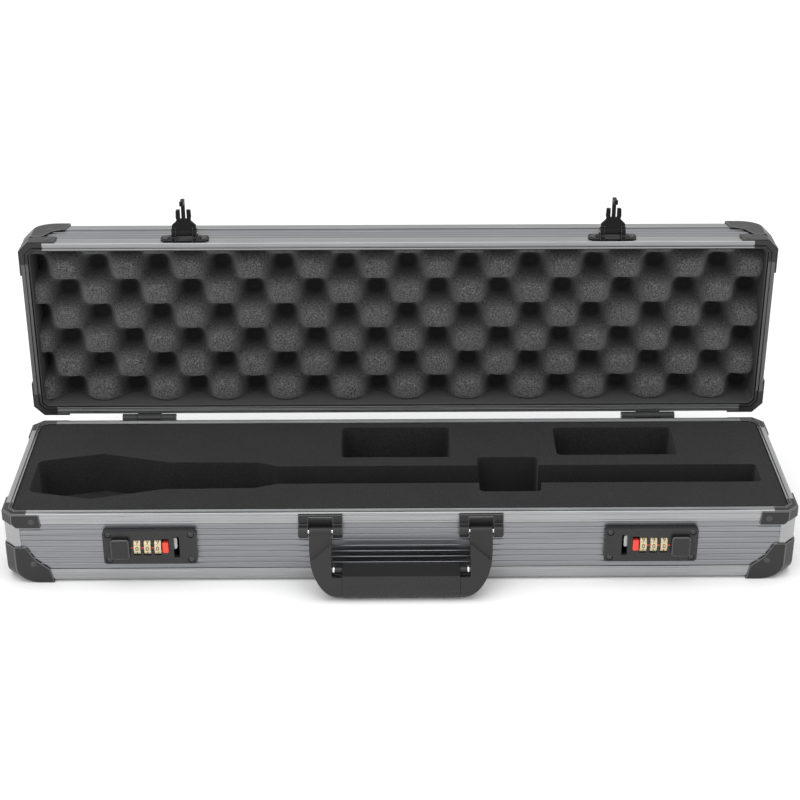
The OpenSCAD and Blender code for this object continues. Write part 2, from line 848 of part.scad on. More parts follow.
// Outline of the left arm across the handle and down from the pin
module arm_outline() {
    outer = -bracket_x - arm_w / 2;
    inner = -bracket_x + arm_w / 2;
    bend = -outer - grip_half;
    ledge = handle_reach - grip_h + 10;
    top = 0;
    across = bend - 0.5;
    up = min(37, handle_reach - 12);
    turn = [for (g = [0:7.5:90]) [outer + across * (1 - sin(g)), up * (1 - cos(g)) - handle_reach]];
    polygon(rounded(
        concat([[inner, top], [inner, -ledge], [-grip_half, -ledge], [-grip_half, -handle_reach]],
            turn, [[outer, top]]),
        concat([0, 1.5, 0, 0], [for (g = turn) 0], [0]), 12));
}

// Section of an arm's bulb, a little slimmer than the grip and running up to the pin
module bulb_section() {
    slim = (grip_t - 0.6) / grip_t;
    translate([0, 0.4 - handle_reach]) scale([slim, slim]) polygon(grip_points());
    translate([-grip_t / 2 + 0.3, -grip_top - 10]) square([grip_t - 0.6, grip_top + 10 - crease_in]);
}

// Part of the arm below the slanting crease where the bulb begins
module below_crease() {
    outer = -bracket_x - arm_w / 2;
    inner = -bracket_x + arm_w / 2;
    polygon([[outer - 1, -crease_out], [inner, -crease_in], [0, -crease_in], [0, -100],
             [outer - 1, -100]]);
}

module handle_arms() {
    color("#3d3e3f") swing_handle() both_sides() difference() {
        union() {
            translate([0, handle_y + arm_t / 2, handle_z]) rotate([90, 0, 0])
                linear_extrude(arm_t) intersection() {
                    arm_outline();
                    translate([-200, -grip_top - 8]) square([200, 100]);
                }
            intersection() {
                translate([0, handle_y + grip_t, handle_z]) rotate([90, 0, 0])
                    linear_extrude(2 * grip_t) intersection() {
                        arm_outline();
                        below_crease();
                    }
                translate([-bracket_x, handle_y, handle_z]) rotate([90, 0, 90])
                    linear_extrude(4 * arm_w, center = true) bulb_section();
            }
            translate([-bracket_x, handle_y, handle_z]) rotate([0, 90, 0])
                cylinder(r = arm_t / 2 + 0.6, h = arm_w, center = true);
        }
        translate([-bracket_x, handle_y, handle_z]) rotate([0, 90, 0])
            cylinder(r = handle_pin_r + run_clear, h = arm_w + 2, center = true);
        handle_bar(rod_r);
    }
}

crease_in = 9;          // crease of the bulb, below the pins at the arm's inner edge
crease_out = 24;        // the same at its outer edge
rod_half = bracket_x - arm_w / 2 + 3;

module handle_bar(r) {
    translate([0, handle_y, handle_z - rod_down]) rotate([0, 90, 0])
        cylinder(r = r, h = 2 * rod_half, center = true);
}

module handle_rod() {
    color("#d8d9da") swing_handle() handle_bar(rod_r);
}

module handle_grip() {
    color("#434445") swing_handle() difference() {
        translate([0, handle_y, handle_z - handle_reach]) rotate([90, 0, 90])
            linear_extrude(2 * grip_half, center = true) polygon(grip_points());
        translate([-grip_half + 1, handle_y - grip_t, handle_z - handle_reach + 4.2])
            cube([2 * (grip_half - 1), grip_t / 2 + 0.5, 0.5]);
        handle_bar(rod_r);
    }
}

// ---------- locks, drawn for the left one ----------

module at_left_lock() {
    translate([-lock_x, 0, lock_z]) children();
}

module at_right_lock() {
    mirror([1, 0, 0]) at_left_lock() children();
}

module lock_window(u, w, h) {
    translate([u, plate_front - 1, 0]) translate([-w / 2, 0, -h / 2]) cube([w, plate_t + 2, h]);
}

module lock_plate() {
    difference() {
        wall_plate(plate_back, plate_t) polygon(rounded(box_points(plate_w, plate_h), 2.5));
        lock_window(button_u - button_travel / 2, button_stem[0] + button_travel + 2 * move_clear,
            button_stem[1] + 2 * move_clear);
        for (i = [-1:1])
            lock_window(wheels_u + i * wheel_pitch, wheel_w + 2 * move_clear, window_h);
        translate([wheels_u - 1.5 * wheel_pitch, plate_front + plate_skin, -wheel_r - 0.4])
            cube([3 * wheel_pitch, plate_t, 2 * wheel_r + 0.8]);
        translate([0, 0, slider_travel / 2])
            lock_window(slider_u, slider_size[0] + 2 * move_clear,
                slider_size[1] + slider_travel + 2 * move_clear);
        translate([0, 0, (slot_low + slot_high) / 2])
            lock_window(slot_u, slot_w, slot_high - slot_low);
        for (x = [-1, 1], z = [-1, 1])
            translate([x * screw_at[0], plate_front + 1, z * screw_at[1]]) rotate([90, 0, 0])
                cylinder(r = 2.7, h = 3);
    }
}

module lock_plates() {
    color("#38393a") {
        at_left_lock() lock_plate();
        at_right_lock() lock_plate();
    }
}

// Tub behind the plate, with two ribs that carry the wheels' axle
module lock_housing() {
    rib_gap = 1.5 * wheel_pitch + 0.6;
    difference() {
        translate([-housing_half[0], plate_back, -housing_half[1]])
            cube([2 * housing_half[0], housing_d, 2 * housing_half[1]]);
        difference() {
            translate([-housing_half[0] + housing_t, plate_back - 1, -housing_half[1] + housing_t])
                cube([2 * (housing_half[0] - housing_t), housing_d + 1 - housing_t,
                      2 * (housing_half[1] - housing_t)]);
            for (s = [-1, 1])
                translate([wheels_u + s * rib_gap - 0.6, plate_back, -housing_half[1]])
                    cube([1.2, housing_d, 2 * housing_half[1]]);
        }
        translate([-housing_half[0] + housing_t, bar_front - 0.4, -3.8])
            cube([2 * (housing_half[0] - housing_t), bar_back - bar_front + 0.7, 8.8]);
        axle(1.5);
    }
}

module axle(r) {
    translate([wheels_u, wheel_y, 0]) rotate([0, 90, 0])
        cylinder(r = r, h = 3 * wheel_pitch + 2.4, center = true);
}

module lock_housings() {
    color("#2a2b2c") {
        at_left_lock() lock_housing();
        at_right_lock() lock_housing();
    }
}

module lock_screw_set() {
    for (x = [-1, 1], z = [-1, 1])
        translate([x * screw_at[0], plate_front + 1, z * screw_at[1]]) rotate([90, 0, 0])
            difference() {
                dome(2.6, 1.3);
                translate([0, 0, 1.3]) cube([3.4, 0.7, 1.2], center = true);
                translate([0, 0, 1.3]) cube([0.7, 3.4, 1.2], center = true);
            }
}

module lock_screws() {
    color("#5b5c5e") {
        at_left_lock() lock_screw_set();
        at_right_lock() lock_screw_set();
    }
}

// Red line beside and between the wheels that marks the row of the code
module index_marks() {
    bar = wheel_pitch - wheel_w - 2 * move_clear - 0.4;
    for (i = [-2:0])
        translate([wheels_u + (i + 0.5) * wheel_pitch, plate_front, 0])
            translate([-bar / 2, -0.25, -0.4]) cube([bar, 0.25, 0.8]);
}

module lock_index_marks() {
    color("#e0402f") {
        at_left_lock() index_marks();
        at_right_lock() index_marks();
    }
}

module lock_axles() {
    color("#b9babb") {
        at_left_lock() axle(1.5);
        at_right_lock() axle(1.5);
    }
}

module lock_button() {
    translate([button_u, 0, 0]) {
        wall_plate(plate_front - button_lift, button_proud - button_lift)
            polygon(rounded(box_points(button_size[0], button_size[1]), 2.2));
        translate([-button_stem[0] / 2, plate_front - button_lift - 1, -button_stem[1] / 2])
            cube([button_stem[0], bar_back - plate_front + button_lift + 1, button_stem[1]]);
    }
}

// Sliding bar behind the wheels, with the white bolt that stands in the slot before the hook
module lock_catch() {
    bar_from = button_u + button_stem[0] / 2;
    bolt_to = slot_u - hook_w / 2 + button_travel - 1;
    bolt_back = barb_y - barb_t - 0.4;
    bolt_high = hook_top - hook_h - 0.5 - lock_z;
    bolt_low = -4;
    riser_to = slot_u - hook_w / 2 - 0.5;
    translate([bar_from, bar_front, -3.4])
        cube([riser_to - bar_from, bar_t, 6.8]);
    translate([riser_to - 1.8, plate_back + 0.5, bolt_low])
        cube([1.8, bar_back - plate_back - 0.5, 6]);
    translate([riser_to - 1.8, plate_back + 0.5, bolt_low]) rotate([-90, 0, 0])
        linear_extrude(bolt_back - plate_back - 0.5) mirror([0, 1])
            polygon(rounded(
                [[0, 0], [bolt_to - riser_to + 1.8, 0],
                 [bolt_to - riser_to + 1.8, bolt_high - bolt_low], [0, bolt_high - bolt_low]],
                [0, 1.4, 1.4, 0]));
}

module lock_slider() {
    translate([slider_u, 0, 0]) {
        wall_plate(plate_back - 0.4, plate_t + 0.4)
            polygon(rounded(box_points(slider_size[0], slider_size[1]), 0.8));
    }
}

// Number wheel with ten finger grooves
module lock_wheel(place) {
    translate([wheels_u + place * wheel_pitch, wheel_y, 0]) rotate([0, 90, 0]) difference() {
        cylinder(r = wheel_r, h = wheel_w, center = true);
        cylinder(r = 1.5 + run_clear, h = wheel_w + 2, center = true);
        for (i = [0:9]) rotate([0, 0, 36 * i]) translate([wheel_r + 0.35, 0, 0])
            cylinder(r = 0.9, h = wheel_w + 2, center = true, $fn = 16);
    }
}

module lock_button_left() { color("#1c1d1e") at_left_lock() lock_button(); }
module lock_catch_left() { color("#e6e6e4") at_left_lock() lock_catch(); }
module lock_slider_left() { color("#e0402f") at_left_lock() lock_slider(); }
module lock_wheel_left_1() { color("#d9c48a") at_left_lock() lock_wheel(-1); }
module lock_wheel_left_2() { color("#d9c48a") at_left_lock() lock_wheel(0); }
module lock_wheel_left_3() { color("#d9c48a") at_left_lock() lock_wheel(1); }
module lock_button_right() { color("#1c1d1e") at_right_lock() lock_button(); }
module lock_catch_right() { color("#e6e6e4") at_right_lock() lock_catch(); }
module lock_slider_right() { color("#e0402f") at_right_lock() lock_slider(); }
module lock_wheel_right_1() { color("#d9c48a") at_right_lock() lock_wheel(-1); }
module lock_wheel_right_2() { color("#d9c48a") at_right_lock() lock_wheel(0); }
module lock_wheel_right_3() { color("#d9c48a") at_right_lock() lock_wheel(1); }

// ---------- hasps, drawn for the left one on the shut lid ----------

hasp_body_w = 20;
hasp_ears_w = 38;
hasp_body_d = 14;
cheek_r = 3.9;
cheek_t = 3.4;

module at_left_hasp() {
    translate([-hasp_x, 0, 0]) children();
}

module hasp_bracket() {
    low = lid_z + 1;
    difference() {
        union() {
            wall_plate(-half_d, 1.4) translate([0, low + 7])
                polygon(rounded(box_points(hasp_ears_w, 11), 4));
            for (s = [-1, 1]) translate([s * (hasp_body_w - cheek_t) / 2, 0, 0]) {
                translate([0, hasp_y, hasp_z]) rotate([0, 90, 0])
                    cylinder(r = cheek_r, h = cheek_t, center = true);
                translate([-cheek_t / 2, hasp_y, hasp_z - cheek_r])
                    cube([cheek_t, hasp_out, 2 * cheek_r]);
                translate([-cheek_t / 2, -half_d - 4, low]) cube([cheek_t, 4, hasp_body_d]);
            }
        }
        translate([0, hasp_y, hasp_z]) rotate([0, 90, 0])
            cylinder(r = hasp_pin_r, h = hasp_body_w + 2, center = true);
    }
}

module hasp_brackets() {
    color("#2b2c2d") open_lid() both_sides() at_left_hasp() hasp_bracket();
}

module hasp_screws() {
    color("#3c3d3f") open_lid() both_sides() at_left_hasp() for (s = [-1, 1])
        front_dome(s * (hasp_ears_w + hasp_body_w) / 4, -half_d - 1.4, lid_z + 8, 3, 1.6);
}

module hasp_pins() {
    color("#8f9092") open_lid() both_sides() translate([-hasp_x, hasp_y, hasp_z])
        rotate([0, 90, 0]) cylinder(r = hasp_pin_r, h = hasp_body_w + 1, center = true);
}

// Arm drawn latched, hanging down from its pin with the hook in the lock's slot
module hasp_arm_shut() {
    barrel_w = hasp_body_w - 2 * cheek_t - 2 * move_clear;
    foot_z = hasp_z - cheek_r - 0.7;
    end_z = hasp_z - hasp_len;
    right = [[9.5, foot_z], [9.5, foot_z - 2], [5.3, foot_z - 6], [5.6, end_z + 8],
             [6.1, end_z + 6], [5.8, end_z]];
    difference() {
        union() {
            translate([0, hasp_y, hasp_z]) rotate([0, 90, 0])
                cylinder(r = 2.4, h = barrel_w, center = true);
            translate([-barrel_w / 2, hasp_y - hasp_t / 2, foot_z - 1])
                cube([barrel_w, hasp_t, hasp_z - foot_z + 1]);
            difference() {
                wall_plate(hasp_y + hasp_t / 2, hasp_t) polygon(rounded(
                    concat(right, [for (i = [len(right) - 1:-1:0]) [-right[i][0], right[i][1]]]),
                    [0, 0.8, 2, 1, 1, 1, 1, 1, 1, 2, 0.8, 0]));
                translate([-hook_w / 2 - 1.1, hasp_y - 5, end_z - 1])
                    cube([hook_w + 2.2, 10, 8.5]);
            }
            translate([-hook_w / 2, hasp_y - hasp_t / 2, hook_top - hook_h])
                cube([hook_w, hasp_t, end_z + 9 - hook_top + hook_h]);
            translate([-hook_w / 2, hasp_y, hook_top - hook_h])
                cube([hook_w, barb_y - hasp_y, hook_h]);
            translate([-hook_w / 2, barb_y - barb_t, hook_top - hook_h - barb_h])
                cube([hook_w, barb_t, barb_h + 1]);
        }
        translate([0, hasp_y, hasp_z]) rotate([0, 90, 0])
            cylinder(r = hasp_pin_r + run_clear, h = barrel_w + 2, center = true);
    }
}

module hasp_arm() {
    at_left_hasp() translate([0, hasp_y, hasp_z]) rotate([-90, 0, 0])
        translate([0, -hasp_y, -hasp_z]) hasp_arm_shut();
}

module hasp_arm_left() { color("#303132") open_lid() hasp_arm(); }
module hasp_arm_right() { color("#303132") open_lid() mirror([1, 0, 0]) hasp_arm(); }

// ---------- output ----------

base_floor();
base_panel_front();
base_panel_back();
base_panel_ends();
base_rim_long();
base_rim_ends();
base_foot_rails();
base_posts();
base_rim_corners();
base_corner_caps();
base_rivets();
tray_pad();
tray_foam();
lid_top();
lid_panel_front();
lid_panel_back();
lid_panel_ends();
lid_rim_long();
lid_rim_ends();
lid_edge_rails();
lid_posts();
lid_rim_corners();
lid_corner_caps();
lid_rivets();
lid_lining();
lid_egg_foam();
hinge_base_leaves();
hinge_lid_leaves();
hinge_pins();
handle_brackets();
handle_pins();
handle_arms();
handle_rod();
handle_grip();
lock_plates();
lock_housings();
lock_screws();
lock_index_marks();
lock_axles();
lock_button_left();
lock_catch_left();
lock_slider_left();
lock_wheel_left_1();
lock_wheel_left_2();
lock_wheel_left_3();
lock_button_right();
lock_catch_right();
lock_slider_right();
lock_wheel_right_1();
lock_wheel_right_2();
lock_wheel_right_3();
hasp_brackets();
hasp_screws();
hasp_pins();
hasp_arm_left();
hasp_arm_right();
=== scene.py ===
"""Looks of a long aluminium-framed carry case.

Shell, plastic corners, cut foam tray, egg-crate lid, handle, code locks and hasps.
"""

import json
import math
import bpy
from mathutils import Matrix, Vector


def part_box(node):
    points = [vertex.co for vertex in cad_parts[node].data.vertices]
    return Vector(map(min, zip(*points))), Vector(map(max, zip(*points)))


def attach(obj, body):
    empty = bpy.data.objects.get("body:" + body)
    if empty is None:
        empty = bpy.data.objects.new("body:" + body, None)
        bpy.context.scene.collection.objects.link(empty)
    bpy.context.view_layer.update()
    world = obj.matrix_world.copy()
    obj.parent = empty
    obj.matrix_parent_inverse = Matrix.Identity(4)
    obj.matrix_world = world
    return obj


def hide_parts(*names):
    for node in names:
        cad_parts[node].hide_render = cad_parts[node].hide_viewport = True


bl_info = {
    "name": "Long Carry Case Looks",
    "version": (1, 0, 0),
    "blender": (4, 5, 0),
    "location": "3D View > Sidebar > Carry Case",
    "description": "Adds the finished pieces, materials, floor, lights and camera of a long hard carry case",
    "category": "Object",
}

import bpy
from mathutils import Matrix, Vector, noise

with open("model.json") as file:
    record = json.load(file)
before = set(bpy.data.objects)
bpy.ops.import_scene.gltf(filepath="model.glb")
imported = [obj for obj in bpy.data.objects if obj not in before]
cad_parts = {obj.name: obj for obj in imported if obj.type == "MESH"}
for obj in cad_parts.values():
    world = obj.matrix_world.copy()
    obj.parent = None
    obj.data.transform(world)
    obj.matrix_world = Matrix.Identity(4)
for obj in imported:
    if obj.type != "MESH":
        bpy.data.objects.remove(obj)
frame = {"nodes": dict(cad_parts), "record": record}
NODES = frame["nodes"]
RECORD = frame["record"]
JOINTS = {j["name"]: j for j in RECORD["behaviour"]["joints"]}
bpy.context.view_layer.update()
LID_PAINTED_SHADE = 0.84  # painted shade: brightness of the lid's long rails and front and back panels beside the base's
LID_END_PAINTED_SHADE = 0.32  # painted shade of the same kind on its end rails and posts
COLLAR_WALL = 0.0004  # thickness of the collars on the handle's rod
COLLAR_GAP = 0.0064  # distance of a collar's middle from the grip's end
COLLAR_LENGTH = 0.0018  # length of a collar along the rod
GRIP_BAND_UP = 0.6  # how far up a face of the grip looks, at least, to take the darker plastic
GRIP_BAND_FRONT = -0.2  # how far to the front it looks, at least
WHEEL_EDGE = 0.00018  # radius of a number wheel's edges
DIGIT_STEP = 36  # degrees from one digit to the next
DIGIT_SCALE = 1.25  # text size for a digit of height 1
DIGIT_DEPTH = 0.00012  # thickness of a digit to each side
DIGIT_LIFT = 0.00002  # depth of a digit's middle in the wheel
WOBBLE_RATE = 14  # unevenness of the egg-crate peaks, per metre
WOBBLE_SIDE = 0.0022  # how far it moves them sideways
WOBBLE_HEIGHT = 0.0004  # how far it moves them in height
GRAIN_RATE = 260  # roughness of the foam's surface, per metre
GRAIN_HEIGHT = 0.00022  # and its height
HOLLOW_SHARE = 0.10  # part of the wave that is flat hollow
RISE_SHARE = 0.72  # part of it between the hollow and the flat peak


# ---------------------------------------------------------------- settings


class ShellSettings(bpy.types.PropertyGroup):
    """Sizes and colours of the metal shell and its plastic corners"""

    rail_edge: bpy.props.FloatProperty(
        name="Rail edge", description="Radius of the rails' rounded edges",
        default=0.00035, min=0.0, subtype="DISTANCE", unit="LENGTH"
    )
    corner_edge: bpy.props.FloatProperty(
        name="Corner edge", description="Radius of the plastic corners' rounded edges",
        default=0.0006, min=0.0, subtype="DISTANCE", unit="LENGTH"
    )
    rail_colour: bpy.props.FloatVectorProperty(
        name="Rail colour", description="Colour of the satin rails",
        default=(0.38, 0.385, 0.39), size=3, min=0.0, max=1.0, subtype="COLOR"
    )
    panel_colour: bpy.props.FloatVectorProperty(
        name="Panel colour", description="Colour of the ribbed walls",
        default=(0.262, 0.270, 0.284), size=3, min=0.0, max=1.0, subtype="COLOR"
    )
    plastic_colour: bpy.props.FloatVectorProperty(
        name="Plastic colour", description="Colour of the moulded corners",
        default=(0.017, 0.017, 0.0175), size=3, min=0.0, max=1.0, subtype="COLOR"
    )


class FoamSettings(bpy.types.PropertyGroup):
    """Sizes and colours of the tray and of the lid's egg-crate foam"""

    cut_edge: bpy.props.FloatProperty(
        name="Cut edge", description="Softening of the tray's cut edges",
        default=0.0009, min=0.0, subtype="DISTANCE", unit="LENGTH"
    )
    peak_pitch: bpy.props.FloatProperty(
        name="Peak pitch", description="Distance between peaks along a row",
        default=0.050, min=0.01, subtype="DISTANCE", unit="LENGTH"
    )
    row_pitch: bpy.props.FloatProperty(
        name="Row pitch", description="Distance between rows of peaks",
        default=0.0217, min=0.005, subtype="DISTANCE", unit="LENGTH"
    )
    first_peak: bpy.props.FloatProperty(
        name="First peak", description="Place of the first row's leftmost peak",
        default=-0.2676, subtype="DISTANCE", unit="LENGTH"
    )
    first_row: bpy.props.FloatProperty(
        name="First row", description="Distance of the first row from the middle of the lid",
        default=0.049, subtype="DISTANCE", unit="LENGTH"
    )
    depth: bpy.props.FloatProperty(
        name="Depth", description="Height of the peaks over the hollows",
        default=0.022, min=0.0, subtype="DISTANCE", unit="LENGTH"
    )
    cell: bpy.props.FloatProperty(
        name="Mesh cell", description="Size of one face of the egg-crate surface",
        default=0.0019, min=0.0005, subtype="DISTANCE", unit="LENGTH"
    )
    tray_colour: bpy.props.FloatVectorProperty(
        name="Tray colour", description="Colour of the cut foam",
        default=(0.018, 0.018, 0.0184), size=3, min=0.0, max=1.0, subtype="COLOR"
    )
    egg_colour: bpy.props.FloatVectorProperty(
        name="Egg-crate colour", description="Colour of the lid's foam",
        default=(0.047, 0.047, 0.047), size=3, min=0.0, max=1.0, subtype="COLOR"
    )


class FittingSettings(bpy.types.PropertyGroup):
    """Sizes and colours of the handle, locks, hinges and hasps"""

    arm_edge: bpy.props.FloatProperty(
        name="Arm edge", description="Radius of the handle arms' edges",
        default=0.0011, min=0.0, subtype="DISTANCE", unit="LENGTH"
    )
    plate_edge: bpy.props.FloatProperty(
        name="Plate edge", description="Radius of the lock plates' edges",
        default=0.0006, min=0.0, subtype="DISTANCE", unit="LENGTH"
    )
    digit_height: bpy.props.FloatProperty(
        name="Digit height", description="Height of a wheel's numbers",
        default=0.0040, min=0.0, subtype="DISTANCE", unit="LENGTH"
    )
    wheel_colour: bpy.props.FloatVectorProperty(
        name="Wheel colour", description="Colour of the number wheels",
        default=(0.62, 0.52, 0.33), size=3, min=0.0, max=1.0, subtype="COLOR"
    )
    signal_colour: bpy.props.FloatVectorProperty(
        name="Signal colour", description="Colour of the index marks and the code slider",
        default=(0.80, 0.055, 0.03), size=3, min=0.0, max=1.0, subtype="COLOR"
    )


class StageSettings(bpy.types.PropertyGroup):
    """Floor, light and camera"""

    floor_colour: bpy.props.FloatVectorProperty(
        name="Floor colour", description="Colour of the floor",
        default=(0.93, 0.93, 0.93), size=3, min=0.0, max=1.0, subtype="COLOR"
    )
    ambient: bpy.props.FloatProperty(
        name="Ambient", description="Strength of the light from all round",
        default=1.0, min=0.0
    )
    key_power: bpy.props.FloatProperty(
        name="Key light", description="Power of the large light overhead",
        default=16.0, min=0.0, unit="POWER"
    )
    fill_power: bpy.props.FloatProperty(
        name="Fill light", description="Power of the light beside the camera",
        default=8.0, min=0.0, unit="POWER"
    )
    camera_place: bpy.props.FloatVectorProperty(
        name="Camera place", description="Where the camera stands",
        default=(-0.01205, -1.2257, 0.7432), size=3, subtype="XYZ", unit="LENGTH"
    )
    camera_tilt: bpy.props.FloatProperty(
        name="Camera tilt", description="How far the camera looks down",
        default=math.radians(27.1), subtype="ANGLE", unit="ROTATION"
    )
    camera_turn: bpy.props.FloatProperty(
        name="Camera turn", description="How far the camera turns to the right",
        default=math.radians(0.57), subtype="ANGLE", unit="ROTATION"
    )
    camera_angle: bpy.props.FloatProperty(
        name="Field of view", description="Width of the camera's view",
        default=math.radians(25.3), subtype="ANGLE", unit="ROTATION"
    )


# ---------------------------------------------------------------- modelling helpers


def pick_none():
    active = bpy.context.view_layer.objects.active
    if active is not None and active.mode != "OBJECT":
        bpy.ops.object.mode_set(mode="OBJECT")
    bpy.ops.object.select_all(action="DESELECT")


def pick(*objs):
    pick_none()
    for obj in objs:
        obj.select_set(True)
    bpy.context.view_layer.objects.active = objs[0]


def settle(obj):
    """Moves an object's place, turn and scale into its mesh."""
    pick(obj)
    bpy.ops.object.transform_apply(location=True, rotation=True, scale=True)
    return obj


def named(obj, name):
    obj.name = name
    obj.data.name = name
    return obj


def join(name, parts):
    pick(*parts)
    if len(parts) > 1:
        bpy.ops.object.join()
    return named(bpy.context.view_layer.objects.active, name)


def separate_copy(obj, name, move=(0, 0, 0), mirror_x=False):
    twin = obj.copy()
    twin.data = obj.data.copy()
    bpy.context.scene.collection.objects.link(twin)
    twin.parent = None
    named(twin, name)
    twin.data.transform(Matrix.Translation(move))
    if mirror_x:
        twin.data.transform(Matrix.Diagonal((-1, 1, 1, 1)))
        tidy_normals(twin)
    return twin


def tidy_normals(obj):
    pick(obj)
    bpy.ops.object.mode_set(mode="EDIT")
    bpy.ops.mesh.select_all(action="SELECT")
    bpy.ops.mesh.remove_doubles(threshold=1e-6)
    bpy.ops.mesh.normals_make_consistent(inside=False)
    bpy.ops.object.mode_set(mode="OBJECT")


def from_frame(node, name):
    """Copies a frame node's mesh and merges it into clean flat faces, ready to be shaped."""
    obj = separate_copy(NODES[node], name)
    obj.matrix_world = Matrix.Identity(4)
    pick(obj)
    bpy.ops.object.mode_set(mode="EDIT")
    bpy.ops.mesh.select_all(action="SELECT")
    bpy.ops.mesh.remove_doubles(threshold=2e-6)
    bpy.ops.mesh.dissolve_limited(angle_limit=math.radians(0.6))
    bpy.ops.object.mode_set(mode="OBJECT")
    return obj


def apply(obj, kind, label, **values):
    pick(obj)
    modifier = obj.modifiers.new(label, kind)
    for key, value in values.items():
        setattr(modifier, key, value)
    bpy.ops.object.modifier_apply(modifier=modifier.name)


def round_edges(obj, width, segments=2, angle=32, smooth=38, clamp=True, slot=-1):
    """Rounds the edges, and gives the rounded strips the material in a slot."""
    if width > 0:
        apply(
            obj, "BEVEL", "Rounded edges", width=width, segments=segments, limit_method="ANGLE",
            angle_limit=math.radians(angle), use_clamp_overlap=clamp, material=slot,
        )
    pick(obj)
    bpy.ops.object.shade_smooth_by_angle(angle=math.radians(smooth))
    apply(obj, "WEIGHTED_NORMAL", "Even normals", keep_sharp=True, weight=60)
    return obj


def dress(obj, material):
    obj.data.materials.clear()
    obj.data.materials.append(material)
    return obj


def place(obj, body, slot, *nodes):
    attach(obj, body)
    if nodes:
        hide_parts(*nodes)
    return obj


def slot_of(node):
    return next(s["material_slot"] for s in RECORD["subparts"] if s["node"] == node)


def body_holding(node):
    return next(b for b, members in RECORD["behaviour"]["bodies"].items() if node in members)


def refined(node, width, material, segments=2, angle=32, clamp=True, highlight_edges=None):
    """A frame node with its edges rounded, standing in for the node."""
    obj = dress(from_frame(node, node + "_finished"), material)
    if highlight_edges is not None:
        # the second material, on the rounded strips, is a paler painted highlight along the edges
        obj.data.materials.append(highlight_edges)
    round_edges(obj, width, segments, angle, clamp=clamp, slot=-1 if highlight_edges is None else 1)
    return place(obj, body_holding(node), slot_of(node), node)


def rod_piece(name, centre, radius, length, axis="Y", sides=32):
    pick_none()
    turn = {"X": (0, math.pi / 2, 0), "Y": (math.pi / 2, 0, 0), "Z": (0, 0, 0)}[axis]
    bpy.ops.mesh.primitive_cylinder_add(
        vertices=sides, radius=radius, depth=length, location=centre, rotation=turn
    )
    return named(settle(bpy.context.active_object), name)


# ---------------------------------------------------------------- materials


class Finish:
    """A procedural material under construction, with helpers to add its detail."""

    def __init__(self, name, colour, roughness, metallic=0.0):
        self.material = bpy.data.materials.new(name)
        self.material.use_nodes = True
        self.nodes = self.material.node_tree.nodes
        self.links = self.material.node_tree.links
        self.shader = next(n for n in self.nodes if n.type == "BSDF_PRINCIPLED")
        self.shader.inputs["Base Color"].default_value = (*colour, 1)
        self.shader.inputs["Roughness"].default_value = roughness
        self.shader.inputs["Metallic"].default_value = metallic
        self.material.diffuse_color = (*colour, 1)
        self.bumps = None

    def where(self, scale=(1, 1, 1), turn=(0, 0, 0)):
        coords = self.nodes.new("ShaderNodeTexCoord")
        mapping = self.nodes.new("ShaderNodeMapping")
        mapping.inputs["Scale"].default_value = scale
        mapping.inputs["Rotation"].default_value = turn
        self.links.new(coords.outputs["Object"], mapping.inputs["Vector"])
        return mapping.outputs["Vector"]

    def noise(self, size, detail=4.0, rough=0.55, stretch=(1, 1, 1)):
        """Noise whose blobs are about the given size in metres."""
        node = self.nodes.new("ShaderNodeTexNoise")
        node.inputs["Scale"].default_value = 1.0 / size
        node.inputs["Detail"].default_value = detail
        node.inputs["Roughness"].default_value = rough
        self.links.new(self.where(stretch), node.inputs["Vector"])
        return node.outputs["Fac"]

    def cells(self, size, feature="F1"):
        node = self.nodes.new("ShaderNodeTexVoronoi")
        node.feature = feature
        node.inputs["Scale"].default_value = 1.0 / size
        self.links.new(self.where(), node.inputs["Vector"])
        return node.outputs["Distance"]

    def spread(self, value, low, high, start=0.3, stop=0.7):
        node = self.nodes.new("ShaderNodeMapRange")
        node.inputs["From Min"].default_value = start
        node.inputs["From Max"].default_value = stop
        node.inputs["To Min"].default_value = low
        node.inputs["To Max"].default_value = high
        self.links.new(value, node.inputs["Value"])
        return node.outputs["Result"]

    def blend(self, value, colour_a, colour_b, start=0.3, stop=0.7):
        ramp = self.nodes.new("ShaderNodeValToRGB")
        ramp.color_ramp.elements[0].position = start
        ramp.color_ramp.elements[0].color = (*colour_a, 1)
        ramp.color_ramp.elements[1].position = stop
        ramp.color_ramp.elements[1].color = (*colour_b, 1)
        self.links.new(value, ramp.inputs["Fac"])
        return ramp.outputs["Color"]

    def multiply(self, a, b):
        node = self.nodes.new("ShaderNodeMix")
        node.data_type = "RGBA"
        node.blend_type = "MULTIPLY"
        node.inputs["Factor"].default_value = 1.0
        self.links.new(a, node.inputs[6])
        self.links.new(b, node.inputs[7])
        return node.outputs[2]

    def colour(self, value):
        self.links.new(value, self.shader.inputs["Base Color"])

    def roughness(self, value):
        self.links.new(value, self.shader.inputs["Roughness"])

    def bump(self, height, depth, strength=1.0):
        node = self.nodes.new("ShaderNodeBump")
        node.inputs["Strength"].default_value = strength
        node.inputs["Distance"].default_value = depth
        self.links.new(height, node.inputs["Height"])
        if self.bumps is not None:
            self.links.new(self.bumps, node.inputs["Normal"])
        self.bumps = node.outputs["Normal"]
        self.links.new(self.bumps, self.shader.inputs["Normal"])


MADE = {}


def material(name, build):
    if name not in MADE:
        MADE[name] = build(name)
    return MADE[name]


def tint(colour, factor):
    return tuple(min(1.0, c * factor) for c in colour)


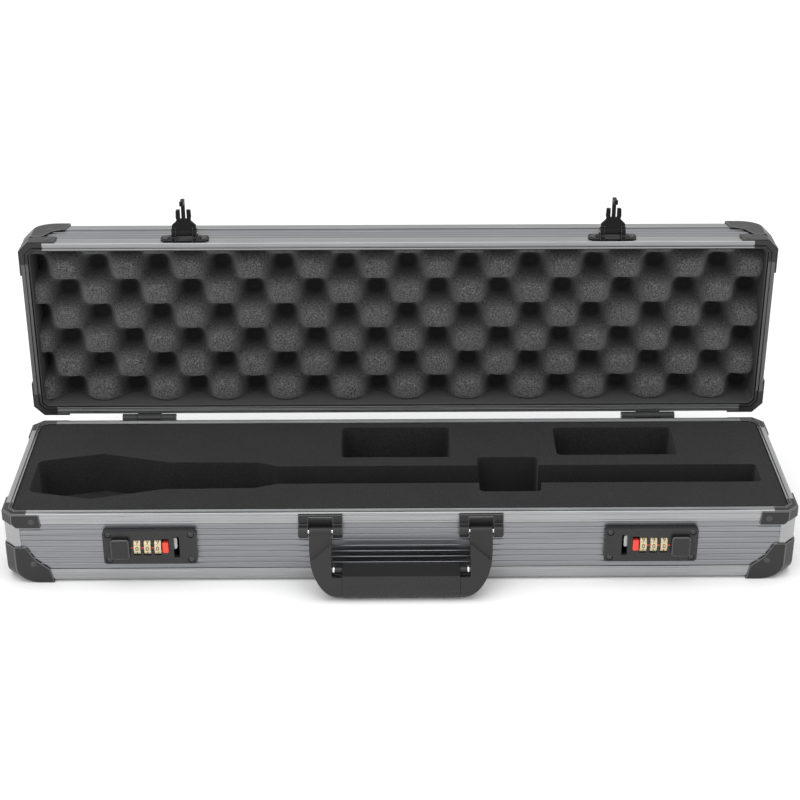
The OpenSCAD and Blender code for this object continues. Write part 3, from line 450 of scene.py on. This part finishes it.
def satin_extrusion(along, tone=1.0):
    """Clear anodised rail with drawing lines that run along it; a tone below 1 darkens it as painted shade.
    """
    colour = tint(tuple(bpy.context.scene.case_shell.rail_colour), tone)

    def build(name):
        f = Finish(name, colour, 0.34, 1.0)
        stretch = (0.02, 1, 1) if along == "X" else (1, 0.02, 1)
        lines = f.noise(0.0009, 3.0, 0.6, stretch)
        f.colour(f.multiply(
            f.blend(lines, tint(colour, 0.86), tint(colour, 1.1)),
            f.blend(f.noise(0.09, 2.0), (0.93, 0.93, 0.93), (1, 1, 1)),
        ))
        f.roughness(f.spread(lines, 0.27, 0.38))
        return f.material

    return material("satin_rail_along_%s_%d" % (along.lower(), round(100 * tone)), build)


def ribbed_sheet(along, tone=1.0):
    """Blue-grey anodised sheet of the ribbed walls; a tone below 1 darkens it as painted shade."""
    colour = tint(tuple(bpy.context.scene.case_shell.panel_colour), tone)

    def build(name):
        f = Finish(name, colour, 0.36, 1.0)
        stretch = (0.015, 1, 1) if along == "X" else (1, 0.015, 1)
        lines = f.noise(0.0012, 3.0, 0.6, stretch)
        f.colour(f.multiply(
            f.blend(lines, tint(colour, 0.85), tint(colour, 1.15)),
            f.blend(f.noise(0.12, 2.0), (0.92, 0.92, 0.93), (1, 1, 1)),
        ))
        f.roughness(f.spread(lines, 0.28, 0.40))
        return f.material

    return material("ribbed_sheet_along_%s_%d" % (along.lower(), round(100 * tone)), build)


def grained_plastic(name, colour, roughness=0.42, grain=0.0005, depth=0.00006, shine=0.38):
    """Moulded black plastic with a fine spark-eroded grain."""

    def build(label):
        f = Finish(label, colour, roughness)
        fine = f.noise(grain, 3.0, 0.6)
        f.shader.inputs["Specular IOR Level"].default_value = shine
        tone = f.blend(f.noise(0.03, 3.0), tint(colour, 0.93), tint(colour, 1.07))
        f.colour(tone)
        f.roughness(f.spread(fine, roughness - 0.05, roughness + 0.09))
        f.bump(fine, depth)
        return f.material

    return material(name, build)


def painted_black(name, colour, roughness=0.36, shine=0.4):
    """Black stove enamel over metal."""

    def build(label):
        f = Finish(label, colour, roughness)
        fine = f.noise(0.0008, 4.0, 0.6)
        f.shader.inputs["Specular IOR Level"].default_value = shine
        f.colour(f.blend(fine, tint(colour, 0.85), tint(colour, 1.2)))
        f.roughness(f.spread(f.noise(0.004, 4.0), roughness - 0.06, roughness + 0.08))
        f.bump(fine, 0.00003)
        return f.material

    return material(name, build)


def bright_metal(name, colour, roughness=0.14):
    def build(label):
        f = Finish(label, colour, roughness, 1.0)
        fine = f.noise(0.0006, 3.0)
        f.colour(f.blend(fine, tint(colour, 0.9), tint(colour, 1.06)))
        f.roughness(f.spread(f.noise(0.003, 3.0), roughness - 0.04, roughness + 0.1))
        f.bump(fine, 0.00001)
        return f.material

    return material(name, build)


def cut_foam():
    """Dense closed-cell foam: fine pores, slightly paler fuzz on cut faces."""
    colour = tuple(bpy.context.scene.case_foam.tray_colour)

    def build(name):
        f = Finish(name, colour, 0.95)
        pores = f.cells(0.0011)
        fine = f.noise(0.0007, 5.0, 0.7)
        tone = f.multiply(
            f.blend(fine, tint(colour, 0.4), tint(colour, 1.9), 0.34, 0.68),
            f.blend(f.noise(0.035, 3.0), (0.86, 0.86, 0.86), (1.0, 1.0, 1.0)),
        )
        f.colour(f.multiply(tone, f.blend(pores, (0.55, 0.55, 0.55), (1, 1, 1), 0.05, 0.45)))
        f.shader.inputs["Sheen Weight"].default_value = 0.06
        f.shader.inputs["Sheen Roughness"].default_value = 0.6
        f.shader.inputs["Specular IOR Level"].default_value = 0.15
        f.bump(fine, 0.00022, 0.8)
        f.bump(pores, 0.0002, 0.7)
        return f.material

    return material("cut_closed_cell_foam", build)


def egg_foam(front, back):
    """Open-cell foam: speckled pores, with painted shade in the hollows and a painted highlight on the
    peaks.
    """
    colour = tuple(bpy.context.scene.case_foam.egg_colour)

    def build(name):
        f = Finish(name, colour, 0.95)
        split = f.nodes.new("ShaderNodeSeparateXYZ")
        f.links.new(f.where(), split.inputs["Vector"])
        height = f.spread(split.outputs["Y"], 1.0, 0.0, front, back)
        fine = f.noise(0.0012, 4.0, 0.8)
        pores = f.cells(0.0019)
        speck = f.blend(fine, tint(colour, 0.12), tint(colour, 3.2), 0.38, 0.66)
        speck = f.multiply(speck, f.blend(pores, (0.5, 0.5, 0.5), (1.15, 1.15, 1.15), 0.05, 0.5))
        # painted shade and light by height: near black in the hollows, palest on the peaks
        shade = f.nodes.new("ShaderNodeValToRGB")
        shade.color_ramp.elements[0].position = 0.0
        shade.color_ramp.elements[0].color = (0.012, 0.012, 0.012, 1)
        shade.color_ramp.elements[1].position = 0.95
        shade.color_ramp.elements[1].color = (1.0, 1.0, 1.0, 1)
        middle = shade.color_ramp.elements.new(0.38)
        middle.color = (0.26, 0.26, 0.26, 1)
        f.links.new(height, shade.inputs["Fac"])
        f.colour(f.multiply(speck, shade.outputs["Color"]))
        f.shader.inputs["Sheen Weight"].default_value = 0.2
        f.shader.inputs["Sheen Roughness"].default_value = 0.6
        f.shader.inputs["Specular IOR Level"].default_value = 0.2
        f.bump(fine, 0.0004, 0.9)
        f.bump(pores, 0.0003, 0.8)
        return f.material

    return material("open_cell_foam", build)


def lining_sheet():
    def build(name):
        f = Finish(name, (0.05, 0.05, 0.05), 0.8)
        fine = f.noise(0.0006, 4.0, 0.7)
        f.colour(f.blend(fine, (0.035, 0.035, 0.035), (0.065, 0.065, 0.065)))
        f.bump(fine, 0.0001)
        return f.material

    return material("grey_liner", build)


def signal_red():
    colour = tuple(bpy.context.scene.case_fittings.signal_colour)

    def build(name):
        f = Finish(name, colour, 0.32)
        fine = f.noise(0.0009, 3.0)
        f.colour(f.blend(fine, tint(colour, 0.85), tint(colour, 1.1)))
        f.bump(fine, 0.00002)
        return f.material

    return material("red_plastic", build)


def wheel_gold():
    colour = tuple(bpy.context.scene.case_fittings.wheel_colour)

    def build(name):
        f = Finish(name, colour, 0.36, 0.35)
        fine = f.noise(0.0006, 3.0)
        f.colour(f.blend(fine, tint(colour, 0.85), tint(colour, 1.12)))
        f.roughness(f.spread(fine, 0.3, 0.46))
        f.bump(fine, 0.00002)
        return f.material

    return material("pale_gold_wheel", build)


def white_plastic():
    def build(name):
        f = Finish(name, (0.9, 0.9, 0.88), 0.3)
        fine = f.noise(0.0009, 3.0)
        f.colour(f.blend(fine, (0.86, 0.86, 0.84), (0.95, 0.95, 0.93)))
        f.bump(fine, 0.00002)
        return f.material

    return material("white_plastic", build)


def digit_ink():
    def build(name):
        f = Finish(name, (0.03, 0.022, 0.015), 0.5)
        f.colour(f.blend(f.noise(0.0005, 3.0), (0.02, 0.016, 0.012), (0.05, 0.04, 0.03)))
        return f.material

    return material("digit_paint", build)


def corner_black():
    return grained_plastic("corner_plastic", tuple(bpy.context.scene.case_shell.plastic_colour), 0.38)


def corner_ridge(paler=6.0):
    """The same plastic made paler and glossier along its edges: a painted highlight."""
    colour = tint(tuple(bpy.context.scene.case_shell.plastic_colour), paler)
    return grained_plastic("corner_plastic_edge_highlight_%d" % round(paler), colour, 0.2, 0.0005, 0.00002)


# ---------------------------------------------------------------- operators


class CASE_OT_shell(bpy.types.Operator):
    """Finish the walls, rims, rails, posts and boards of the base and the lid"""

    bl_idname = "case.shell"
    bl_label = "Metal Shell"

    def execute(self, context):
        edge = context.scene.case_shell.rail_edge
        for node in ("base_panel_front", "base_panel_back"):
            dress(NODES[node], ribbed_sheet("X"))
        # the lid's panels and rails take darker copies of the same finishes: painted shade
        for node in ("lid_panel_front", "lid_panel_back"):
            dress(NODES[node], ribbed_sheet("X", LID_PAINTED_SHADE))
        for node in ("base_panel_ends", "lid_panel_ends"):
            dress(NODES[node], ribbed_sheet("Y"))
        for node in ("base_rim_long", "base_foot_rails"):
            refined(node, edge, satin_extrusion("X"))
        for node in ("lid_rim_long", "lid_edge_rails"):
            refined(node, edge, satin_extrusion("X", LID_PAINTED_SHADE))
        for node in ("base_rim_ends", "base_posts"):
            refined(node, edge, satin_extrusion("Y"))
        for node in ("lid_rim_ends", "lid_posts"):
            refined(node, edge, satin_extrusion("Y", LID_END_PAINTED_SHADE))
        board = grained_plastic("board_face", (0.06, 0.061, 0.064), 0.5, 0.0012, 0.00008)
        for node in ("base_floor", "lid_top"):
            dress(NODES[node], board)
        refined("lid_lining", 0.0004, lining_sheet())
        return {"FINISHED"}


class CASE_OT_corners(bpy.types.Operator):
    """Finish the plastic corners of the rims and the caps, with their rivets"""

    bl_idname = "case.corners"
    bl_label = "Plastic Corners"

    def execute(self, context):
        edge = context.scene.case_shell.corner_edge
        # the rims' and caps' rounded edges carry a paler painted highlight
        for node in ("base_rim_corners", "lid_rim_corners"):
            refined(node, edge * 0.8, corner_black(), 2, 25, highlight_edges=corner_ridge(14.0))
        for node in ("base_corner_caps", "lid_corner_caps"):
            refined(node, edge, corner_black(), 3, 25, highlight_edges=corner_ridge())
        for node in ("base_rivets", "lid_rivets"):
            dress(NODES[node], painted_black("rivet_head", (0.045, 0.045, 0.047), 0.3))
        return {"FINISHED"}


class CASE_OT_tray(bpy.types.Operator):
    """Model the foam tray with its cut recesses"""

    bl_idname = "case.tray"
    bl_label = "Foam Tray"

    def execute(self, context):
        tray = from_frame("tray_foam", "foam_tray")
        round_edges(tray, context.scene.case_foam.cut_edge, 3, 40)
        dress(tray, cut_foam())
        place(tray, "base", "tray", "tray_foam", "tray_pad")
        return {"FINISHED"}


class CASE_OT_egg_foam(bpy.types.Operator):
    """Model the egg-crate foam in the lid"""

    bl_idname = "case.egg_foam"
    bl_label = "Egg-crate Foam"

    def execute(self, context):
        s = context.scene.case_foam
        low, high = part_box("lid_egg_foam")
        size = high - low
        hinge_z = JOINTS["lid_hinge"]["pos_m"][2]
        hinge_y = JOINTS["lid_hinge"]["pos_m"][1]
        middle_z = hinge_y + hinge_z
        across = int(size.x / s.cell)
        up = int(size.z / s.cell)
        pick_none()
        bpy.ops.mesh.primitive_grid_add(
            x_subdivisions=across, y_subdivisions=up, size=1,
            location=(0, 0, 0), rotation=(math.pi / 2, 0, 0),
        )
        foam = named(bpy.context.active_object, "egg_crate_foam")
        foam.scale = (size.x, size.z, 1)
        foam.location = ((low.x + high.x) / 2, low.y, (low.z + high.z) / 2)
        settle(foam)
        for v in foam.data.vertices:
            x, z = v.co.x, v.co.z
            wobble = noise.noise(Vector((x * WOBBLE_RATE, z * WOBBLE_RATE, 3.1)))
            x += WOBBLE_SIDE * wobble
            row = (z - (middle_z + s.first_row)) / s.row_pitch
            wave = math.cos(2 * math.pi * (x - s.first_peak) / s.peak_pitch) * math.cos(math.pi * row)
            rise = min(1.0, max(0.0, (0.5 + 0.5 * wave - HOLLOW_SHARE) / RISE_SHARE))
            lift = rise * rise * (3 - 2 * rise)
            grain = noise.noise(Vector((v.co.x * GRAIN_RATE, v.co.z * GRAIN_RATE, 0.7)))
            v.co.y = (low.y + WOBBLE_HEIGHT + s.depth * (1 - lift)
                      + WOBBLE_HEIGHT * wobble + GRAIN_HEIGHT * grain)
        pick(foam)
        bpy.ops.object.mode_set(mode="EDIT")
        bpy.ops.mesh.select_all(action="SELECT")
        bpy.ops.mesh.normals_make_consistent(inside=False)
        bpy.ops.mesh.select_all(action="DESELECT")
        bpy.ops.mesh.select_mode(type="EDGE")
        bpy.ops.mesh.select_non_manifold(
            extend=False, use_wire=False, use_boundary=True,
            use_multi_face=False, use_non_contiguous=False, use_verts=False,
        )
        bpy.ops.mesh.extrude_edges_move(TRANSFORM_OT_translate={"value": (0, 0.001, 0)})
        bpy.ops.object.mode_set(mode="OBJECT")
        for v in foam.data.vertices:
            if v.select:
                v.co.y = high.y
        pick(foam)
        bpy.ops.object.mode_set(mode="EDIT")
        bpy.ops.mesh.edge_face_add()
        bpy.ops.mesh.select_mode(type="VERT")
        bpy.ops.object.mode_set(mode="OBJECT")
        tidy_normals(foam)
        pick(foam)
        bpy.ops.object.shade_smooth_by_angle(angle=math.radians(50))
        dress(foam, egg_foam(low.y, low.y + s.depth))
        place(foam, "lid", "egg_foam", "lid_egg_foam")
        return {"FINISHED"}


class CASE_OT_hinges(bpy.types.Operator):
    """Finish the hinges and their pins"""

    bl_idname = "case.hinges"
    bl_label = "Hinges"

    def execute(self, context):
        black = painted_black("hinge_enamel", (0.016, 0.016, 0.017))
        for node in ("hinge_base_leaves", "hinge_lid_leaves"):
            refined(node, 0.0003, black)
        dress(NODES["hinge_pins"], bright_metal("hinge_pin_steel", (0.62, 0.62, 0.63), 0.25))
        return {"FINISHED"}


class CASE_OT_handle(bpy.types.Operator):
    """Finish the handle: brackets, arms, rod and grip"""

    bl_idname = "case.handle"
    bl_label = "Handle"

    def execute(self, context):
        edge = context.scene.case_fittings.arm_edge
        # the brackets and arms carry a paler painted highlight on their rounded edges
        refined("handle_brackets", 0.0007, corner_black(), 3, highlight_edges=corner_ridge())
        refined(
            "handle_arms", edge,
            grained_plastic("handle_plastic", (0.016, 0.016, 0.0165), 0.34, 0.0005, 0.00004),
            3, 40, highlight_edges=corner_ridge(),
        )
        dress(NODES["handle_pins"], bright_metal("polished_pin", (0.86, 0.86, 0.87), 0.1))
        dress(NODES["handle_rod"], painted_black("handle_rod_enamel", (0.02, 0.02, 0.021), 0.25))
        grip_low, grip_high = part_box("handle_grip")
        rod_low, rod_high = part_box("handle_rod")
        middle = (rod_low + rod_high) / 2
        radius = (rod_high.z - rod_low.z) / 2 + COLLAR_WALL
        collars = []
        for x in (grip_low.x - COLLAR_GAP, grip_high.x + COLLAR_GAP):
            collars.append(rod_piece("collar", (x, middle.y, middle.z), radius, COLLAR_LENGTH, "X"))
        collar = round_edges(join("rod_collars", collars), COLLAR_WALL, 2)
        dress(collar, bright_metal("collar_chrome", (0.86, 0.86, 0.87), 0.12))
        place(collar, "handle", slot_of("handle_pins"))
        grip = refined(
            "handle_grip", 0.0012,
            grained_plastic("grip_plastic", (0.017, 0.017, 0.018), 0.26, 0.0012, 0.00001),
            3, 50,
        )
        grip.data.materials.append(
            grained_plastic("grip_top_band", (0.012, 0.012, 0.0122), 0.5, 0.0012, 0.00001, 0.1)
        )
        # faces looking up and to the front take a darker, less shiny plastic
        for face in grip.data.polygons:
            if face.normal.z > GRIP_BAND_UP and face.normal.y < GRIP_BAND_FRONT:
                face.material_index = 1
        return {"FINISHED"}


class CASE_OT_locks(bpy.types.Operator):
    """Finish the code locks: plates, buttons, sliders, catches and screws"""

    bl_idname = "case.locks"
    bl_label = "Code Locks"

    def execute(self, context):
        edge = context.scene.case_fittings.plate_edge
        enamel = painted_black("lock_enamel", (0.017, 0.017, 0.0175), 0.3)
        # paler enamel on the plates' rounded edges is a painted highlight
        plate_edge_highlight = painted_black("lock_edge_highlight_enamel", (0.06, 0.06, 0.062), 0.22)
        refined("lock_plates", edge, enamel, 3, highlight_edges=plate_edge_highlight)
        inside = grained_plastic("lock_inside", (0.008, 0.008, 0.008), 0.6, 0.001, 0.00005)
        dress(NODES["lock_housings"], inside)
        dress(NODES["lock_screws"], painted_black("screw_head", (0.05, 0.05, 0.052), 0.28))
        dress(NODES["lock_index_marks"], signal_red())
        dress(NODES["lock_axles"], bright_metal("axle_steel", (0.6, 0.6, 0.61), 0.25))
        gloss = grained_plastic("button_plastic", (0.008, 0.008, 0.0082), 0.10, 0.004, 0.00001, 0.5)
        # paler plastic on the buttons' rounded edges is a painted highlight
        button_edge_highlight = grained_plastic("button_rim_painted_highlight", (0.03, 0.03, 0.031), 0.1, 0.004, 0.00001, 0.8)
        for side in ("left", "right"):
            refined("lock_button_" + side, 0.0009, gloss, 4, highlight_edges=button_edge_highlight)
            refined("lock_slider_" + side, 0.0003, signal_red(), 2)
            refined("lock_catch_" + side, 0.0002, white_plastic(), 2)
        return {"FINISHED"}


class CASE_OT_wheels(bpy.types.Operator):
    """Model the number wheels with their digits"""

    bl_idname = "case.wheels"
    bl_label = "Number Wheels"

    def execute(self, context):
        s = context.scene.case_fittings
        for side in ("left", "right"):
            for place_number in (1, 2, 3):
                node = "lock_wheel_%s_%d" % (side, place_number)
                low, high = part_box(node)
                centre = (low + high) / 2
                wheel = from_frame(node, "number_wheel_%s_%d" % (side, place_number))
                wheel = round_edges(wheel, WHEEL_EDGE, 2, 35)
                dress(wheel, wheel_gold())
                radius = (high.y - low.y) / 2
                digits = []
                for digit in range(10):
                    pick_none()
                    bpy.ops.object.text_add(location=(0, 0, 0))
                    text = bpy.context.active_object
                    text.data.body = str(digit)
                    text.data.size = s.digit_height * DIGIT_SCALE
                    text.data.align_x = "CENTER"
                    text.data.align_y = "CENTER"
                    text.data.extrude = DIGIT_DEPTH
                    text.data.resolution_u = 3
                    pick(text)
                    bpy.ops.object.convert(target="MESH")
                    text = bpy.context.active_object
                    angle = math.radians(DIGIT_STEP * digit)
                    turn = Matrix.Rotation(angle, 4, "X")
                    surface = Matrix.Translation((0, -radius + DIGIT_LIFT, 0))
                    outwards = surface @ Matrix.Rotation(math.pi / 2, 4, "X")
                    text.data.transform(Matrix.Translation(centre) @ turn @ outwards)
                    dress(text, digit_ink())
                    digits.append(text)
                wheel = join(wheel.name, [wheel] + digits)
                place(wheel, body_holding(node), "wheel", node)
        return {"FINISHED"}


class CASE_OT_hasps(bpy.types.Operator):
    """Finish the hasps: brackets, pins, screws and hooked arms"""

    bl_idname = "case.hasps"
    bl_label = "Hasps"

    def execute(self, context):
        black = painted_black("hasp_enamel", (0.007, 0.007, 0.0072), 0.42, 0.12)
        # paler enamel on the hasps' rounded edges is a painted highlight
        highlight_edges = painted_black("hasp_edge_highlight_enamel", (0.11, 0.11, 0.112), 0.24)
        refined("hasp_brackets", 0.0005, black, 3, highlight_edges=highlight_edges)
        dress(NODES["hasp_screws"], painted_black("hasp_screw_head", (0.04, 0.04, 0.042), 0.22))
        dress(NODES["hasp_pins"], bright_metal("hasp_pin_steel", (0.5, 0.5, 0.51), 0.3))
        for side in ("left", "right"):
            refined("hasp_arm_" + side, 0.0004, black, 3, highlight_edges=highlight_edges)
        return {"FINISHED"}


class CASE_OT_stage(bpy.types.Operator):
    """Add the floor, the lights and the camera"""

    bl_idname = "case.stage"
    bl_label = "Stage"

    def execute(self, context):
        s = context.scene.case_stage
        pick_none()
        bpy.ops.mesh.primitive_plane_add(size=14, location=(0, 0, 0))
        floor = named(bpy.context.active_object, "floor")
        paper = Finish("floor_paper", tuple(s.floor_colour), 0.9)
        tone = tuple(s.floor_colour)
        paper.colour(paper.blend(paper.noise(0.4, 2.0), tint(tone, 0.99), tint(tone, 1.01)))
        dress(floor, paper.material)

        world = bpy.data.worlds.new("studio")
        context.scene.world = world
        world.use_nodes = True
        sky = next(n for n in world.node_tree.nodes if n.type == "BACKGROUND")
        sky.inputs["Color"].default_value = (1, 1, 1, 1)
        sky.inputs["Strength"].default_value = s.ambient

        for name, spot, aim, size, power in (
            ("overhead_light", (0.0, -0.35, 1.9), (0, 0, 0.05), (2.6, 1.6), s.key_power),
            ("camera_light", (-0.9, -1.9, 1.2), (0, 0, 0.1), (1.4, 1.2), s.fill_power),
        ):
            lamp = bpy.data.lights.new(name, "AREA")
            lamp.shape = "RECTANGLE"
            lamp.size, lamp.size_y = size
            lamp.energy = power
            light = bpy.data.objects.new(name, lamp)
            context.scene.collection.objects.link(light)
            light.location = spot
            light.rotation_euler = (Vector(aim) - Vector(spot)).to_track_quat("-Z", "Y").to_euler()

        lens = bpy.data.cameras.new("camera")
        lens.sensor_width = 36.0
        lens.angle = s.camera_angle
        lens.clip_start, lens.clip_end = 0.01, 60
        camera = bpy.data.objects.new("camera", lens)
        context.scene.collection.objects.link(camera)
        camera.location = s.camera_place
        camera.rotation_euler = (math.pi / 2 - s.camera_tilt, 0, -s.camera_turn)
        context.scene.camera = camera
        context.scene.view_settings.view_transform = "Standard"
        return {"FINISHED"}


class CASE_PT_panel(bpy.types.Panel):
    """Buttons and sizes of the carry case"""

    bl_idname = "CASE_PT_panel"
    bl_label = "Carry Case"
    bl_space_type = "VIEW_3D"
    bl_region_type = "UI"
    bl_category = "Carry Case"

    def draw(self, context):
        scene = context.scene
        for group in (scene.case_shell, scene.case_foam, scene.case_fittings, scene.case_stage):
            box = self.layout.box()
            for key in group.__annotations__:
                box.prop(group, key)
        for operator in OPERATORS:
            self.layout.operator(operator.bl_idname)


SETTINGS = {
    "case_shell": ShellSettings,
    "case_foam": FoamSettings,
    "case_fittings": FittingSettings,
    "case_stage": StageSettings,
}
OPERATORS = (
    CASE_OT_shell,
    CASE_OT_corners,
    CASE_OT_tray,
    CASE_OT_egg_foam,
    CASE_OT_hinges,
    CASE_OT_handle,
    CASE_OT_locks,
    CASE_OT_wheels,
    CASE_OT_hasps,
    CASE_OT_stage,
)


def register():
    for name, group in SETTINGS.items():
        bpy.utils.register_class(group)
        setattr(bpy.types.Scene, name, bpy.props.PointerProperty(type=group))
    for cls in OPERATORS + (CASE_PT_panel,):
        bpy.utils.register_class(cls)


def unregister():
    for cls in reversed(OPERATORS + (CASE_PT_panel,)):
        bpy.utils.unregister_class(cls)
    for name, group in SETTINGS.items():
        delattr(bpy.types.Scene, name)
        bpy.utils.unregister_class(group)


def main():
    register()
    bpy.ops.case.shell()
    bpy.ops.case.corners()
    bpy.ops.case.tray()
    bpy.ops.case.egg_foam()
    bpy.ops.case.hinges()
    bpy.ops.case.handle()
    bpy.ops.case.locks()
    bpy.ops.case.wheels()
    bpy.ops.case.hasps()
    bpy.ops.case.stage()


if __name__ == "__main__":
    main()
